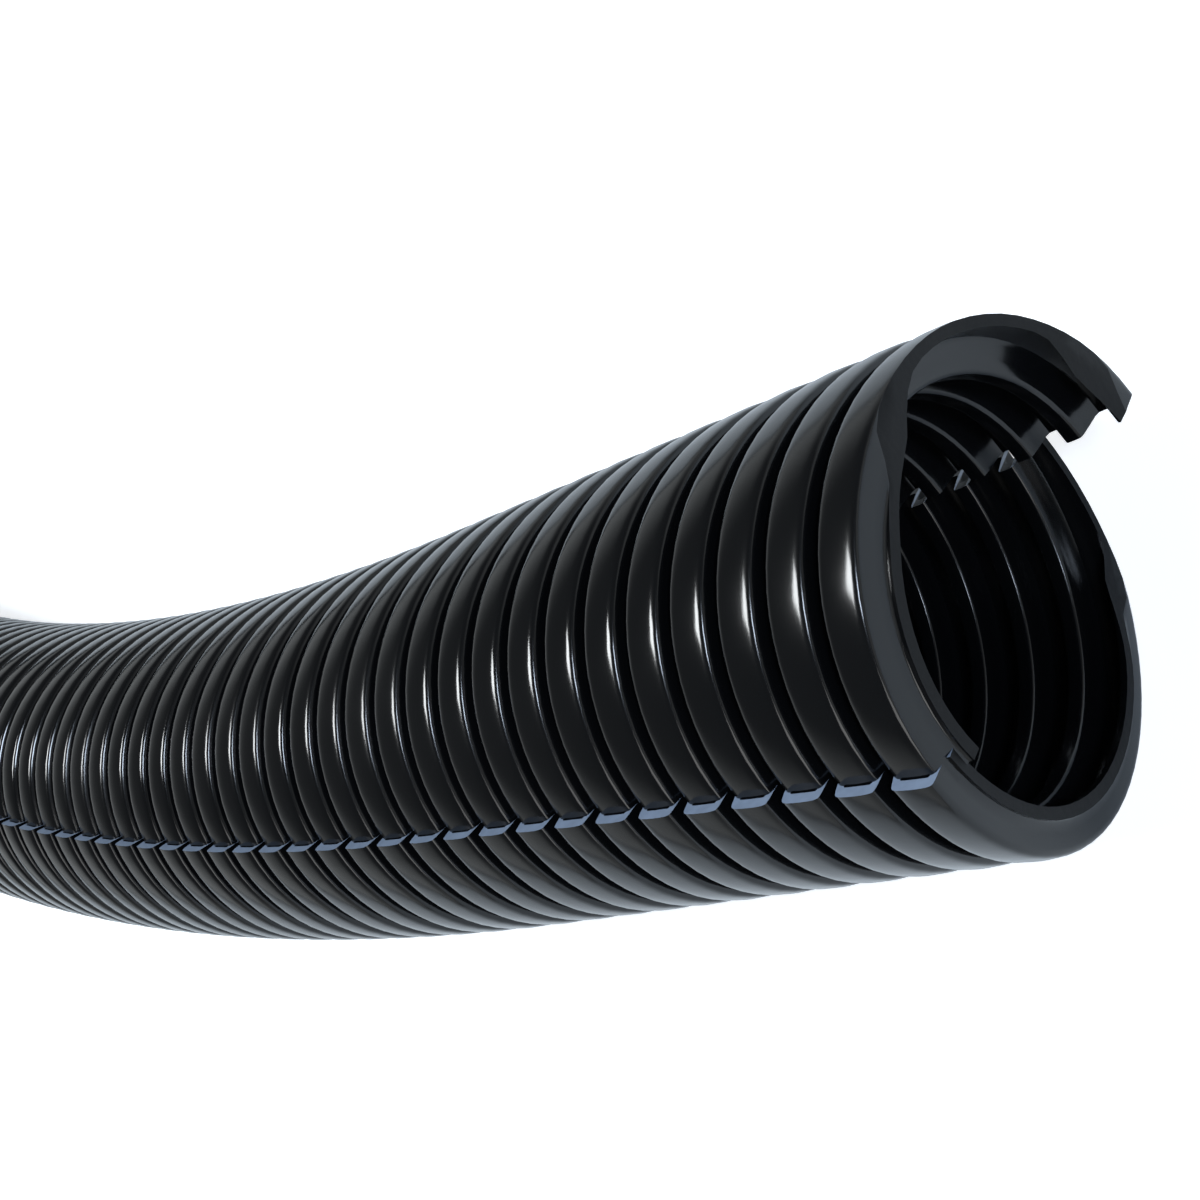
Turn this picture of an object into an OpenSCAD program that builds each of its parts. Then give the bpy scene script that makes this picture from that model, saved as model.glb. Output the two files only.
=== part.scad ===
// Divisible corrugated conduit for wiring: a split tube of two half shells.
// The inner half laps under the outer half along one seam and stands open at
// the other, the slit, where cables are pressed in. The tube lies on its side
// in the plane z = -outer_d/2, with the mouth centre at the origin and the
// axis running out of the mouth along +X. Millimetres.

/* [Corrugation] */
// Outside diameter over the crests of the outer half
outer_d = 54.5; // [50:0.5:62]
// Depth of a groove, from crest to groove floor
groove_depth = 3.6; // [2.8:0.1:4.2]
// Wall at the crests and at the groove floors
wall = 1.3; // [1:0.1:1.6]
// Wall of the flanks, which the mould draws thinner
flank = 0.7; // [0.5:0.1:1]
// Distance from ring to ring
pitch = 6.4; // [6:0.1:7]
// Width of a groove at its opening
groove_open = 1.8; // [1.4:0.1:2.2]
// Width of a groove at its floor
groove_floor = 1.1; // [0.8:0.1:1.3]
// Bevel along both edges of a crest
crest_bevel = 0.6; // [0.3:0.1:0.8]

/* [Length and lie] */
// Length of the piece along its axis
length = 1000; // [300:50:1200]
// Straight stretch behind the mouth, before the bend
straight = 74; // [40:1:120]
// Radius of the bend along the axis
bend_radius = 630; // [500:10:1000]
// Twist of the tube about its own axis, degrees per metre
twist = 151; // [60:1:180]
// Angle of the lapped seam at the mouth, from +Z towards +Y
seam_angle = -44.3; // [-60:0.1:-20]

/* [Halves] */
// Radial clearance between the two halves where they lap
lap_clearance = 0.15; // [0.1:0.05:0.3]
// Length of the tongue that laps under the outer half, along the circumference
lap = 3; // [2:0.5:5]
// Gap between the edges of the halves, outside the lap
edge_gap = 0.5; // [0.45:0.05:0.8]
// Width of the open slit
slit = 2; // [1:0.2:5]
// How far the inner half leads towards the mouth at the slit
inner_lead = 7.4; // [4:0.2:8]
// How far the outer half trails away from the mouth at the slit
outer_trail = 4.5; // [2:0.2:6]

/* [Mouth cut] */
// Angle round the outer half, from the seam, where the knife enters its first ring
outer_cut_from = 105; // [90:1:120]
// Slope of that cut against the ring, degrees
outer_cut_slope = 8.5; // [6:0.5:10]
// Angle round the inner half, from the seam, where its cut goes deepest
inner_cut_deepest = 120; // [100:1:140]
// Depth of that cut behind the end of the first ring's foot
inner_cut_depth = 2.2; // [1:0.1:2.6]
// Slope of that cut against the ring, degrees
inner_cut_slope = 4; // [3:0.5:5]

/* [Hidden] */
$fn = 72;
black = [0.08, 0.09, 0.1];
charcoal = [0.16, 0.17, 0.18];

// A ring's feet run foot_lap past the line between two rings. They taper on both
// faces and end on a slant, so that neighbours cross and fuse into one wall.
foot_lap = 0.35;
foot_taper = 0.1;
foot_slant = 0.25;       // the outer edge ends this much short, the inner goes past
tongue_inset = 0.15;     // the tongue is this much thinner than its crest, a side
big = 3*outer_d;

radius = outer_d/2;
inner_radius = radius - wall - lap_clearance;
lap_radius = inner_radius - wall/2;          // middle of the tongue
count = round(length/pitch);
crest = pitch - groove_open;                 // width of a crest
ring_twist = twist*pitch/1000;               // degrees from ring to ring
function bend_at(s) = (s - straight)/bend_radius*180/PI;
foot_end = pitch/2 + foot_lap;
function degrees(arc) = arc/radius*180/PI;   // of an arc on the outer surface
half_turn = 180 - degrees(slit/2);

// Axial half width of the outer flank line and of the hollow, at depth d below
// the crest
function flank_at(d) =
  (pitch - groove_open)/2 + d*(groove_open - groove_floor)/2/groove_depth;
function hollow_at(d) = flank_at(d) - flank;

// Section of one ring: x is the radius, y runs along the tube, + to the mouth
module ring_section(r) {
  floor_r = r - groove_depth;
  ridge_r = floor_r - wall;
  outer_end = [floor_r - foot_taper, foot_end - foot_slant];
  inner_end = [ridge_r + foot_taper, foot_end + foot_slant];
  polygon([
    [inner_end.x, -inner_end.y], [outer_end.x, -outer_end.y],
    [floor_r, -flank_at(groove_depth)],
    [r - crest_bevel, -flank_at(crest_bevel)], [r, crest_bevel - flank_at(0)],
    [r, flank_at(0) - crest_bevel], [r - crest_bevel, flank_at(crest_bevel)],
    [floor_r, flank_at(groove_depth)], outer_end, inner_end,
    [ridge_r, hollow_at(groove_depth + wall)], [r - wall, hollow_at(wall)],
    [r - wall, -hollow_at(wall)], [ridge_r, -hollow_at(groove_depth + wall)]]);
}

// Turns a section about X, from angle a to angle b round the tube, where 0 is
// the lapped seam and angles run down the outer half
module sweep_half(a, b)
  rotate([0, 90, 0]) rotate([0, 0, 180 + a]) rotate_extrude(angle = b - a)
    children();

// Moves from the mouth to the place on the axis at distance s behind it, along
// the straight and then round the bend, and the same move undone
module along(s)
  if (s <= straight) translate([-s, 0, 0]) children();
  else translate([-straight, bend_radius, 0])
    rotate([0, 0, -bend_at(s)]) translate([0, -bend_radius, 0]) children();

module back_along(s)
  if (s <= straight) translate([s, 0, 0]) children();
  else translate([0, bend_radius, 0])
    rotate([0, 0, bend_at(s)]) translate([straight, -bend_radius, 0]) children();

// Places ring k of a half. The warp of a half tips its rings, so that they keep
// step with the other half in the lap and lie `lead` ahead at the slit.
function tip(lead) = asin(lead/outer_d);
function ring_s(k, lead) = k*pitch + crest/2 - lap_radius*sin(tip(lead));
function ring_seam(k) = seam_angle + k*ring_twist;

module to_ring(k, lead)
  along(ring_s(k, lead)) rotate([-ring_seam(k), 0, 0])
    rotate([0, -tip(lead), 0]) children();

// What stands at ring k, in the frame of ring m
module seen_from(m, k, lead)
  rotate([0, tip(lead), 0]) rotate([ring_seam(m), 0, 0])
    back_along(ring_s(m, lead)) to_ring(k, lead) children();

// Rings i to i+n-1, in the frame of their middle ring. A run is two shorter runs
// joined at that ring, so that every joint is made square to its own axes.
function middle(i, n) = i + floor(n/2);

module run(i, n, lead) {
  m = middle(i, n);
  if (n == 1) {
    $ring = i;
    children();
  } else {
    seen_from(m, middle(i, m - i), lead) run(i, m - i, lead) children();
    seen_from(m, middle(m, i + n - m), lead) run(m, i + n - m, lead) children();
  }
}

// Cuts away what lies ahead of a plane across a ring. The plane passes the axis
// at x and falls back by the slope towards angle `at` round the tube.
module knife(x, at, slope)
  rotate([at, 0, 0]) translate([x, 0, 0]) rotate([0, -slope, 0])
    translate([0, -big/2, -big/2]) cube(big);

// The cut at the mouth goes through the first ring of each half only
module outer_ring() difference() {
  sweep_half(0, half_turn) ring_section(radius);
  if ($ring == 0) {
    fall = radius*tan(outer_cut_slope);
    knife(foot_end + fall*cos(180 - outer_cut_from), 180, outer_cut_slope);
  }
}

module inner_ring() difference() {
  union() {
    sweep_half(-half_turn, -degrees(edge_gap)) ring_section(inner_radius);
    tongue();
  }
  if ($ring == 0) {
    fall = inner_radius*tan(inner_cut_slope);
    knife(foot_end - inner_cut_depth + fall, -inner_cut_deepest, inner_cut_slope);
  }
}

// Laps under the outer half's edge, in the hollow of its crest
module tongue() {
  width = 2*(hollow_at(wall) - lap_clearance);
  sweep_half(-degrees(lap), degrees(lap))
    translate([inner_radius - wall + tongue_inset, -width/2])
      square([wall - 2*tongue_inset, width]);
}

module outer_half() color(black)
  to_ring(middle(0, count), -outer_trail) run(0, count, -outer_trail) outer_ring();

module inner_half() color(charcoal)
  to_ring(middle(0, count), inner_lead) run(0, count, inner_lead) inner_ring();

outer_half();
inner_half();
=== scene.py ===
import bpy, bmesh, math
from mathutils import Matrix, Vector


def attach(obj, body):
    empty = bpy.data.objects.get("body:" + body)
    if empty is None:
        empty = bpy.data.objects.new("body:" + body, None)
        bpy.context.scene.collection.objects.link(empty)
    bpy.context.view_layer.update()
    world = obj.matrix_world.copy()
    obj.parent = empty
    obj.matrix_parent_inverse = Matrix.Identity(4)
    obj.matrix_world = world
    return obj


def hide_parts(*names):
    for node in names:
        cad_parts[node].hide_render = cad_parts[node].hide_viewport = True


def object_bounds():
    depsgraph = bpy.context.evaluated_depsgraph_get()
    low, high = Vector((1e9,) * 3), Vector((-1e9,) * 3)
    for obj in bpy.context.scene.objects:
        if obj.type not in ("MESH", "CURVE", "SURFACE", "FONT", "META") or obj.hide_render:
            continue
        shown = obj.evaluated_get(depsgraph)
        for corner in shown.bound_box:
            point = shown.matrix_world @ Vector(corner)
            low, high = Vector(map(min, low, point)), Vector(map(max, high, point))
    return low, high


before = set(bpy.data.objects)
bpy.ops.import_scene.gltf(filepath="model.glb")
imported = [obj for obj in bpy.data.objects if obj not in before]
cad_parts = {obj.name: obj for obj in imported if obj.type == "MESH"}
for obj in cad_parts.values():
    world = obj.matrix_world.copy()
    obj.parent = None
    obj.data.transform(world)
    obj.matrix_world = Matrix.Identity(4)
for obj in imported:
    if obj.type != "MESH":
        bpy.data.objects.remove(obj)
cad_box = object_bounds()


# ---------------------------------------------------------------------------
# Camera. It looks down on the near end of the tube from the open side of the
# mouth, through a normal lens held close.
FOCAL_LENGTH, SENSOR_WIDTH = 50.7, 36.0     # mm
CAMERA_PLACE = (0.09226, -0.02348, 0.14193)
CAMERA_AXES = ((0.65729, 0.22223, 0.72013),
               (-0.14757, 0.97499, -0.16618),
               (-0.73905, 0.00296, 0.67364))
camera_data = bpy.data.cameras.new("camera")
camera_data.lens = FOCAL_LENGTH
camera_data.sensor_width = SENSOR_WIDTH
camera_data.clip_start = 0.01
camera = bpy.data.objects.new("camera", camera_data)
camera.matrix_world = Matrix.Translation(CAMERA_PLACE) @ Matrix(CAMERA_AXES).to_4x4()
bpy.context.scene.collection.objects.link(camera)
bpy.context.scene.camera = camera
bpy.context.scene.view_settings.view_transform = "Standard"


# ---------------------------------------------------------------------------
# Halves of the conduit. Each is a thin corrugated shell of black polypropylene,
# moulded ring by ring and cut across at the mouth with a knife. The inner half
# laps under the outer one along the seam, and leads it at the open slit.

# Sizes of the corrugation and its lie, in millimetres and radians. The seam
# angle is the seam's at the mouth, from the top, and the twist is for each
# millimetre. The half tips over the outside width, about the lap radius.
SIZES = {"Pitch": 6.4, "Groove Centre": -0.9, "Crest Middle": 2.3, "Seam Angle": math.radians(-44.3),
         "Twist": math.radians(0.151), "Straight": 74.0, "Bend Radius": 630.0, "Lap Radius": 25.15,
         "Outside Width": 54.5, "Tube End": 997.85}

# Depth below the crest of the outer and of the inner face, by distance from the
# groove's centre: a floor, a steep flank and a rounded crest
OUTER_FACE = ((0, 3.6), (0.45, 3.58), (0.58, 3.3), (0.72, 2.2), (0.84, 0.95), (0.95, 0.47), (1.1, 0.27),
              (1.35, 0.14), (1.7, 0.075), (2.1, 0.038), (2.6, 0.012), (3.2, 0.0))
INNER_FACE = ((0, 4.9), (0.7, 4.88), (0.95, 4.75), (1.12, 4.35), (1.25, 3.3), (1.4, 1.85), (1.52, 1.42),
              (1.75, 1.31), (3.2, 1.3))
DEEPEST = 5                                 # more than any depth above

# Where the rows of the mesh stand between a groove's centre and a crest's
# middle, for the near end and for the far stretch
NEAR_ROWS = (0, 0.4, 0.55, 0.7, 0.84, 0.95, 1.1, 1.25, 1.42, 1.7, 2.1, 2.6, 3.2)
FAR_ROWS = (0, 0.5, 0.86, 1.15, 1.7, 3.2)
NEAR_RINGS, FAR_RINGS = 34, 122

# How far along the tube the knife went at the mouth, by degrees from the seam.
# The far stretch starts where the near one ends, and isn't cut.
CUT_REACH = 2
OUTER_CUT = ((0, -1.25), (95, -1.25), (120, -0.7), (150, 0.7), (180, 1.8))
INNER_CUT = ((0, -1.25), (50, -1.0), (85, 0.3), (115, 1.0), (145, 0.6), (180, -0.4))
UNCUT = ((0, -CUT_REACH), (180, -CUT_REACH))

# On the slit edge only the flanks, which stand about this far from a groove's centre, are pale:
# painted glints, for the light that the slit's edge catches there
PAINTED_GLINT_FLANK, PAINTED_GLINT_WIDTH = 1.0, 0.27

SLACK = 0.0001                  # keeps whole rings clear of rounding
WELD, SLIVER = 4e-6, 1e-7       # metres: vertices and edges closer than these are one
CREASE = math.radians(48)       # edges sharper than this stay crisp
MILLIMETRE = 0.001


def add(tree, kind, settings=None, inputs=(), named=None):
    """Adds a node with its settings and inputs. An input is a value, a socket, the name of a socket in
    named, or a formula (operation, term, ...), which gets a node of its own."""
    node = tree.nodes.new(kind)
    for key, setting in (settings or {}).items():
        setattr(node, key, setting)
    for key, term in (inputs.items() if isinstance(inputs, dict) else enumerate(inputs)):
        if isinstance(term, tuple) and isinstance(term[0], str):
            term = add(tree, "ShaderNodeMath", {"operation": term[0]}, term[1:], named).outputs[0]
        elif isinstance(term, str):
            term = named[term]
        if isinstance(term, bpy.types.NodeSocket):
            tree.links.new(term, node.inputs[key])
        else:
            node.inputs[key].default_value = term
    return node


def corrugated_half(name, rows, cut):
    """The tree of one stretch of a half: a grid is laid out along the outer face, over the slit edge, back
    along the inner face and over the seam edge, and then given its rings, warp, twist and bend."""
    tree = bpy.data.node_groups.new(name, "GeometryNodeTree")
    tree.interface.new_socket("Geometry", in_out="OUTPUT", socket_type="NodeSocketGeometry")
    for socket in ("Radius", "Lead", "Side", "Arc From", "Arc To", *SIZES):
        size = tree.interface.new_socket(socket, in_out="INPUT", socket_type="NodeSocketFloat")
        size.default_value = SIZES.get(socket, 0)
    for socket in ("First Ring", "Rings", "Rows", "Columns"):
        tree.interface.new_socket(socket, in_out="INPUT", socket_type="NodeSocketInt")
    for socket in ("Plastic", "Cut Edge Painted Highlight", "Cut End"):
        tree.interface.new_socket(socket, in_out="INPUT", socket_type="NodeSocketMaterial")
    named = {socket.name: socket for socket in tree.nodes.new("NodeGroupInput").outputs}

    # a face more at each end and at each edge closes the shell, and there is one
    # vertex more than there are faces
    row_count = ("ADD", ("MULTIPLY", "Rings", "Rows"), 3)
    column_count = ("ADD", ("MULTIPLY", "Columns", 2), 3)
    grid = add(tree, "GeometryNodeMeshGrid", None, {
        "Size X": 1.0, "Size Y": 1.0, "Vertices X": row_count, "Vertices Y": column_count}, named)
    place = add(tree, "ShaderNodeSeparateXYZ", None, [add(tree, "GeometryNodeInputPosition").outputs[0]])

    # Each line names a value and says what it comes from. A line with points is
    # a curve through them, read at its second entry, with its lowest and highest
    # reading. Half steps keep the comparisons of whole numbers clear of rounding.
    for value, formula, *curve in (
            ("row count", row_count),
            ("column count", column_count),
            ("u", ("ADD", place.outputs[0], 0.5)),
            ("v", ("ADD", place.outputs[1], 0.5)),
            ("row", ("ROUND", ("MULTIPLY", "u", ("SUBTRACT", "row count", 1)))),
            ("column", ("ROUND", ("MULTIPLY", "v", ("SUBTRACT", "column count", 1)))),

            # the angle round the half, and which face a column lies on
            ("back", ("SUBTRACT", ("MULTIPLY_ADD", "Columns", 2, 1), "column")),
            ("share", ("MAXIMUM", ("DIVIDE", ("MINIMUM", "column", "back"), "Columns"), 0)),
            ("closing", ("LESS_THAN", "back", -0.5)),
            ("inside", ("SUBTRACT", ("GREATER_THAN", "column", ("ADD", "Columns", 0.5)), "closing")),
            ("arc", ("MULTIPLY_ADD", "share", ("SUBTRACT", "Arc To", "Arc From"), "Arc From")),
            ("radians", ("MULTIPLY", "arc", math.radians(1))),

            # the distance along the tube: a row's place in its ring, then the cuts
            ("step", ("MINIMUM", ("MAXIMUM", ("SUBTRACT", "row", 1), 0), ("SUBTRACT", "row count", 3))),
            ("rings", ("DIVIDE", "step", "Rows")),
            ("ring", ("FLOOR", ("ADD", "rings", SLACK))),
            ("part", ("MULTIPLY", ("SUBTRACT", "rings", "ring"), 2)),
            ("mirrored", ("GREATER_THAN", "part", 1 + SLACK)),
            ("fold", ("ABSOLUTE", ("SUBTRACT", "part", ("MULTIPLY", "mirrored", 2)))),
            ("spread", "fold", [(i / (len(rows) - 1), x) for i, x in enumerate(rows)], 0, rows[-1]),
            ("in ring", ("ADD", ("MULTIPLY", "spread", ("SUBTRACT", 1, ("MULTIPLY", "mirrored", 2))),
                         ("MULTIPLY", "mirrored", "Pitch"))),
            ("moulded", ("ADD", ("MULTIPLY", ("ADD", "ring", "First Ring"), "Pitch"),
                         ("ADD", "in ring", "Groove Centre"))),
            ("knife", ("MAXIMUM", "arc", 0), cut, -CUT_REACH, CUT_REACH),
            ("along", ("MINIMUM", ("MAXIMUM", "moulded", "knife"), "Tube End")),

            # the radius at that distance, on the face that the column lies on. Four
            # rings more keep the wave's place above zero.
            ("wave", ("FRACT", ("ADD", ("DIVIDE", ("SUBTRACT", "along", "Groove Centre"), "Pitch"), 4))),
            ("from groove", ("MULTIPLY", ("MINIMUM", "wave", ("SUBTRACT", 1, "wave")), "Pitch")),
            ("outer depth", "from groove", OUTER_FACE, 0, DEEPEST),
            ("inner depth", "from groove", INNER_FACE, 0, DEEPEST),
            ("outer", ("SUBTRACT", "Radius", "outer depth")),
            ("inner", ("SUBTRACT", "Radius", "inner depth")),
            ("capped", ("ADD", ("LESS_THAN", "row", 0.5),
                        ("GREATER_THAN", "row", ("SUBTRACT", "row count", 1.5)))),
            ("level", ("ADD", ("MULTIPLY", "capped", 0.5),
                       ("MULTIPLY", "inside", ("SUBTRACT", 1, "capped")))),
            ("radius", ("ADD", "outer", ("MULTIPLY", ("SUBTRACT", "inner", "outer"), "level"))),

            # warp: the half tips about the lap, so that it leads at the slit
            ("tip", ("DIVIDE", "Lead", "Outside Width")),
            ("shift", ("MULTIPLY", "tip",
                       ("SUBTRACT", "Lap Radius", ("MULTIPLY", "radius", ("COSINE", "radians"))))),
            ("seat", ("SUBTRACT", "along", "shift")),

            # twist, and the bend behind the straight
            ("seam", ("ADD", ("MULTIPLY", ("SUBTRACT", "along", "Crest Middle"), "Twist"), "Seam Angle")),
            ("angle", ("ADD", "seam", ("MULTIPLY", "radians", "Side"))),
            ("bend", ("DIVIDE", ("MAXIMUM", ("SUBTRACT", "seat", "Straight"), 0), "Bend Radius")),
            ("sine", ("SINE", "bend")),
            ("cosine", ("COSINE", "bend")),
            ("sideways", ("MULTIPLY", "radius", ("SINE", "angle"))),
            ("reach", ("ADD", ("MINIMUM", "seat", "Straight"), ("MULTIPLY", "sine", "Bend Radius"))),
            ("x", ("SUBTRACT", ("MULTIPLY", "sideways", "sine"), "reach")),
            ("y", ("ADD", ("MULTIPLY", ("SUBTRACT", 1, "cosine"), "Bend Radius"),
                   ("MULTIPLY", "sideways", "cosine"))),
            ("z", ("MULTIPLY", "radius", ("COSINE", "angle")))):
        if curve:
            points, lowest, highest = curve
            width, height = points[-1][0], highest - lowest
            node = add(tree, "ShaderNodeFloatCurve", None, {"Value": ("DIVIDE", formula, width)}, named)
            spots = [(x / width, (y - lowest) / height) for x, y in points]
            line = node.mapping.curves[0].points
            line[0].location, line[1].location = spots[0], spots[-1]
            for spot in spots[1:-1]:
                line.new(*spot)
            for point in line:
                point.handle_type = "VECTOR"
            node.mapping.update()
            formula = ("MULTIPLY_ADD", node.outputs[0], height, lowest)
        settings = {"operation": formula[0], "label": value}
        named[value] = add(tree, "ShaderNodeMath", settings, formula[1:], named).outputs[0]

    # each face keeps its place on the grid, which tells the cut faces from the skin
    kept = add(tree, "GeometryNodeCaptureAttribute", {"domain": "FACE"}, [grid.outputs["Mesh"]])
    for value in ("u", "v", "from groove"):
        kept.capture_items.new("FLOAT", value)
        tree.links.new(named[value], kept.inputs[value])
    face_row = ("MULTIPLY", kept.outputs["u"], ("SUBTRACT", "row count", 1))
    face_column = ("MULTIPLY", kept.outputs["v"], ("SUBTRACT", "column count", 1))
    slit_edge = ("LESS_THAN", ("ABSOLUTE", ("SUBTRACT", face_column, ("ADD", "Columns", 0.5))), 0.25)
    seam_edge = ("GREATER_THAN", face_column, ("SUBTRACT", "column count", 1.75))
    ends = ("ADD", ("LESS_THAN", face_row, 0.75), ("GREATER_THAN", face_row, ("SUBTRACT", "row count", 1.75)))
    # the slit edge's flanks that get the pale colour: painted glints
    flank = ("LESS_THAN", ("ABSOLUTE", ("SUBTRACT", kept.outputs["from groove"], PAINTED_GLINT_FLANK)), PAINTED_GLINT_WIDTH)

    # from the grid to the finished shell: each node takes the one before it
    spot = add(tree, "ShaderNodeCombineXYZ", None, [("MULTIPLY", axis, MILLIMETRE) for axis in "xyz"], named)
    shell = kept
    for kind, settings, inputs in (
            ("GeometryNodeSetPosition", None, {"Position": spot.outputs[0]}),
            ("GeometryNodeFlipFaces", None, {"Selection": ("GREATER_THAN", "Side", 0)}),
            ("GeometryNodeMergeByDistance", None, {"Distance": WELD}),
            ("GeometryNodeSetShadeSmooth", {"domain": "FACE"}, {"Shade Smooth": True}),
            ("GeometryNodeSetShadeSmooth", {"domain": "EDGE"}, {"Shade Smooth": False, "Selection": (
                "GREATER_THAN", add(tree, "GeometryNodeInputMeshEdgeAngle").outputs[0], CREASE)}),
            ("GeometryNodeRealizeInstances", None, {}),
            ("GeometryNodeSetMaterial", None, {"Material": "Plastic"}),
            ("GeometryNodeSetMaterial", None, {"Material": "Cut End", "Selection": (
                "GREATER_THAN", ("ADD", ends, slit_edge), 0.5)}),
            # the pale finish on the seam ledge and the slit's flanks: painted highlights and glints
            ("GeometryNodeSetMaterial", None, {"Material": "Cut Edge Painted Highlight", "Selection": (
                "GREATER_THAN", ("ADD", ("MULTIPLY", slit_edge, flank), seam_edge), 0.5)})):
        shell = add(tree, kind, settings, {0: shell.outputs[0], **inputs}, named)
    add(tree, "NodeGroupOutput", None, [shell.outputs[0]])
    return tree


def stretch(name, node, rows, cut, given):
    """One stretch of a half as a plain mesh, which stands for its node in the CAD model. Given are the tree's
    inputs, by name."""
    tree = corrugated_half(name, rows, cut)
    mould = bpy.data.objects.new(name + "_mould", bpy.data.meshes.new(name + "_mould"))
    bpy.context.scene.collection.objects.link(mould)
    modifier = mould.modifiers.new("corrugation", "NODES")
    modifier.node_group = tree
    for socket in tree.interface.items_tree:
        if socket.name in given:
            modifier[socket.identifier] = given[socket.name]
    mesh = bpy.data.meshes.new_from_object(mould.evaluated_get(bpy.context.evaluated_depsgraph_get()))
    bpy.data.objects.remove(mould)
    mesh.name = name
    shell = bmesh.new()
    shell.from_mesh(mesh)
    bmesh.ops.dissolve_degenerate(shell, dist=SLIVER, edges=shell.edges)
    bmesh.ops.recalc_face_normals(shell, faces=shell.faces)
    shell.to_mesh(mesh)
    shell.free()
    piece = bpy.data.objects.new(name, mesh)
    bpy.context.scene.collection.objects.link(piece)
    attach(piece, "root")
    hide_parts(node)


def linear(hex_colour):
    """sRGB hex to the linear RGBA that shaders take."""
    parts = [int(hex_colour[i:i + 2], 16) / 255 for i in (1, 3, 5)]
    return tuple(c / 12.92 if c <= 0.04045 else ((c + 0.055) / 1.055) ** 2.4 for c in parts) + (1.0,)


def moulded_polypropylene(name, colour, roughness):
    """Polypropylene with a polished moulded skin: a nearly black body and a clear, mirror-like gloss, which a
    shallow orange peel and a slower ripple break up, and which is a little duller in patches."""
    peel_scale, ripple_scale, smear_scale = 420.0, 90.0, 35.0     # a metre: 2.4, 11 and 29 mm apart
    material = bpy.data.materials.new(name)
    material.use_nodes = True
    tree = material.node_tree
    shader = tree.nodes["Principled BSDF"]
    shader.inputs["Base Color"].default_value = linear(colour)
    shader.inputs["IOR"].default_value = 1.5
    place = add(tree, "ShaderNodeTexCoord").outputs["Object"]
    peel, ripple, smear = (
        add(tree, "ShaderNodeTexNoise", None, {"Vector": place, "Scale": scale, "Detail": detail}).outputs[0]
        for scale, detail in ((peel_scale, 2.0), (ripple_scale, 1.0), (smear_scale, 4.0)))
    gloss = add(tree, "ShaderNodeMapRange", None, {
        "Value": smear, "From Min": 0.3, "From Max": 0.7,
        "To Min": roughness - 0.05, "To Max": roughness + 0.07})
    soft = add(tree, "ShaderNodeBump", None, {"Height": ripple, "Strength": 0.22, "Distance": 0.0004})
    fine = add(tree, "ShaderNodeBump", None, {
        "Height": peel, "Strength": 0.1, "Distance": 0.00006, "Normal": soft.outputs[0]})
    tree.links.new(gloss.outputs[0], shader.inputs["Roughness"])
    tree.links.new(fine.outputs[0], shader.inputs["Normal"])
    return material


def knife_cut_polypropylene(name, colour, roughness, gloss):
    """The same plastic where a blade went through: the skin is gone, so it is matt and finely scored, and
    paler where the blade stretched it."""
    score_scale, score_light = 900.0, 1.5      # a metre: 1.1 mm apart, which is as fine as shows
    material = bpy.data.materials.new(name)
    material.use_nodes = True
    tree = material.node_tree
    shader = tree.nodes["Principled BSDF"]
    shader.inputs["IOR"].default_value = 1.5
    shader.inputs["Roughness"].default_value = roughness
    shader.inputs["Specular IOR Level"].default_value = gloss
    place = add(tree, "ShaderNodeTexCoord").outputs["Object"]
    score = add(tree, "ShaderNodeTexNoise", None, {
        "Vector": place, "Scale": score_scale, "Detail": 2.0}).outputs[0]
    tone = add(tree, "ShaderNodeMix", {"data_type": "RGBA"}, {
        "Factor": score, 6: linear(colour), 7: tuple(c * score_light for c in linear(colour)[:3]) + (1.0,)})
    bump = add(tree, "ShaderNodeBump", None, {"Height": score, "Strength": 0.4, "Distance": 0.0001})
    tree.links.new(tone.outputs[2], shader.inputs["Base Color"])
    tree.links.new(bump.outputs[0], shader.inputs["Normal"])
    return material


skin_finish = moulded_polypropylene("black moulded polypropylene", "#090a0c", 0.15)
# its pale blue-grey paints the light caught by the up-facing seam ledge and the slit's flanks: painted
# highlights and glints
cut_edge_painted_highlight_finish = knife_cut_polypropylene("knife-slit polypropylene with painted highlights", "#76859b", 0.42, 0.5)
end_finish = knife_cut_polypropylene("knife-cut end of black polypropylene", "#060607", 0.5, 0.2)
for node, side, radius, lead, start, cut in (
        ("outer_half", -1.0, 27.25, -4.5, 0.0, OUTER_CUT),
        ("inner_half", 1.0, 25.8, 7.4, -6.0, INNER_CUT)):
    shared = {"Radius": radius, "Lead": lead, "Side": side, "Arc From": start, "Arc To": 177.9,
              "Plastic": skin_finish, "Cut Edge Painted Highlight": cut_edge_painted_highlight_finish, "Cut End": end_finish}
    stretch(node + "_near", node, NEAR_ROWS, cut, {
        "First Ring": 0, "Rings": NEAR_RINGS,
        "Rows": 2 * (len(NEAR_ROWS) - 1), "Columns": 36, **shared})
    stretch(node + "_far", node, FAR_ROWS, UNCUT, {
        "First Ring": NEAR_RINGS, "Rings": FAR_RINGS,
        "Rows": 2 * (len(FAR_ROWS) - 1), "Columns": 28, **shared})


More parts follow.
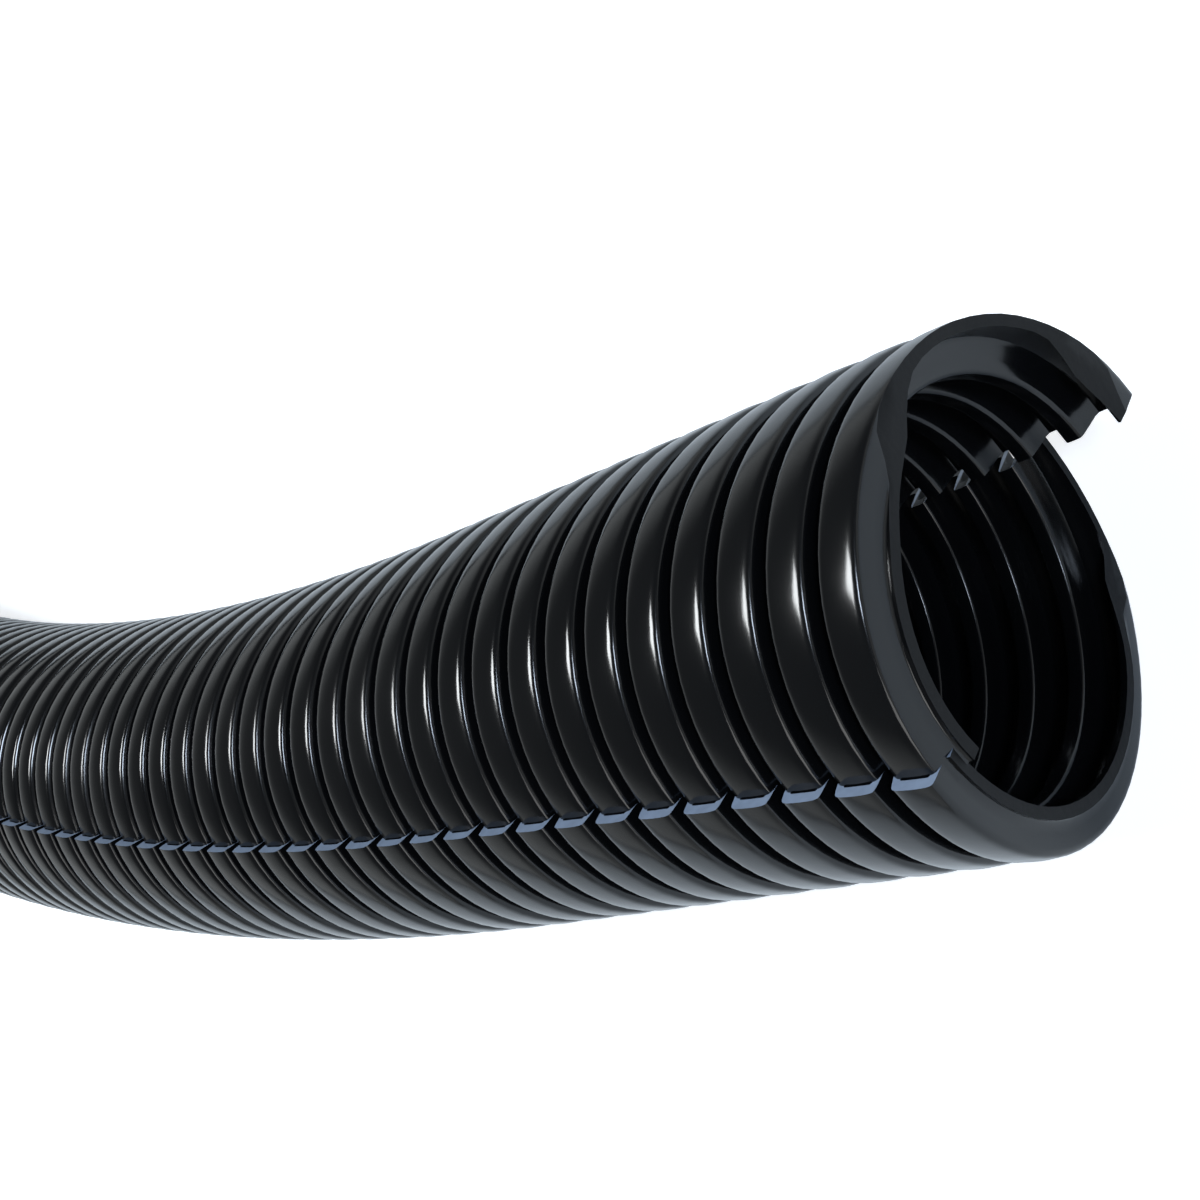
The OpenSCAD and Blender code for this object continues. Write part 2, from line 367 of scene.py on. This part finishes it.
# ---------------------------------------------------------------------------
# Floor: a plain white table top, covered in matt paper, that the tube lies on.
# It glows a little to the camera, so that it shows white round the shadow.
FLOOR_REACH = 6.0
FLOOR_GLOW = 0.7
low = cad_box[0].z
corners = ((-1, -1), (1, -1), (1, 1), (-1, 1))
floor_mesh = bpy.data.meshes.new("floor")
floor_mesh.from_pydata([(x * FLOOR_REACH, y * FLOOR_REACH, low) for x, y in corners], [], [(0, 1, 2, 3)])
floor = bpy.data.objects.new("floor", floor_mesh)
bpy.context.scene.collection.objects.link(floor)
paper = bpy.data.materials.new("white paper")
paper.use_nodes = True
tree = paper.node_tree
shader = tree.nodes["Principled BSDF"]
shader.inputs["Base Color"].default_value = linear("#e4ebf1")
shader.inputs["Roughness"].default_value = 0.8
shader.inputs["Emission Color"].default_value = (1, 1, 1, 1)
ray = add(tree, "ShaderNodeLightPath").outputs
glow = add(tree, "ShaderNodeMath", {"operation": "MULTIPLY"}, [ray["Is Camera Ray"], FLOOR_GLOW])
tree.links.new(glow.outputs[0], shader.inputs["Emission Strength"])
floor_mesh.materials.append(paper)


# ---------------------------------------------------------------------------
# Light: a white surround that is bright near the horizon and dim overhead, and
# three soft lamps: a strip overhead, a weak fill and a cool window.
HORIZON_LIGHT, OVERHEAD_LIGHT = 0.72, 0.12
world = bpy.data.worlds.new("studio")
bpy.context.scene.world = world
world.use_nodes = True
tree = world.node_tree
tree.nodes.clear()
heading = add(tree, "ShaderNodeSeparateXYZ", None, [add(tree, "ShaderNodeTexCoord").outputs["Generated"]])
height = add(tree, "ShaderNodeMapRange", {"interpolation_type": "SMOOTHSTEP"}, {
    "Value": heading.outputs[2], "From Min": 0.0, "From Max": 0.5,
    "To Min": HORIZON_LIGHT, "To Max": OVERHEAD_LIGHT})
surround = add(tree, "ShaderNodeBackground", None, {
    "Color": linear("#eef4f6"), "Strength": height.outputs[0]})
add(tree, "ShaderNodeOutputWorld", None, {"Surface": surround.outputs[0]})

for name, at, aim, size, watts, colour in (
        ("overhead strip", (-0.38, 0.16, 1.18), (-0.1, 0, 0), (0.36, 0.42), 12, "#f6fafc"),
        ("fill", (0.9, -0.9, 0.5), (0, 0, 0), (0.6, 0.6), 3, "#ffffff"),
        ("window", (0.75, -0.08, 0.72), (-0.02, 0, 0), (0.22, 0.22), 5, "#dcebff")):
    data = bpy.data.lights.new(name, "AREA")
    data.shape, data.size, data.size_y = "RECTANGLE", size[0], size[1]
    data.energy, data.color = watts, linear(colour)[:3]
    lamp = bpy.data.objects.new(name, data)
    turn = (Vector(aim) - Vector(at)).to_track_quat("-Z", "Y")
    lamp.matrix_world = Matrix.Translation(at) @ turn.to_matrix().to_4x4()
    bpy.context.scene.collection.objects.link(lamp)
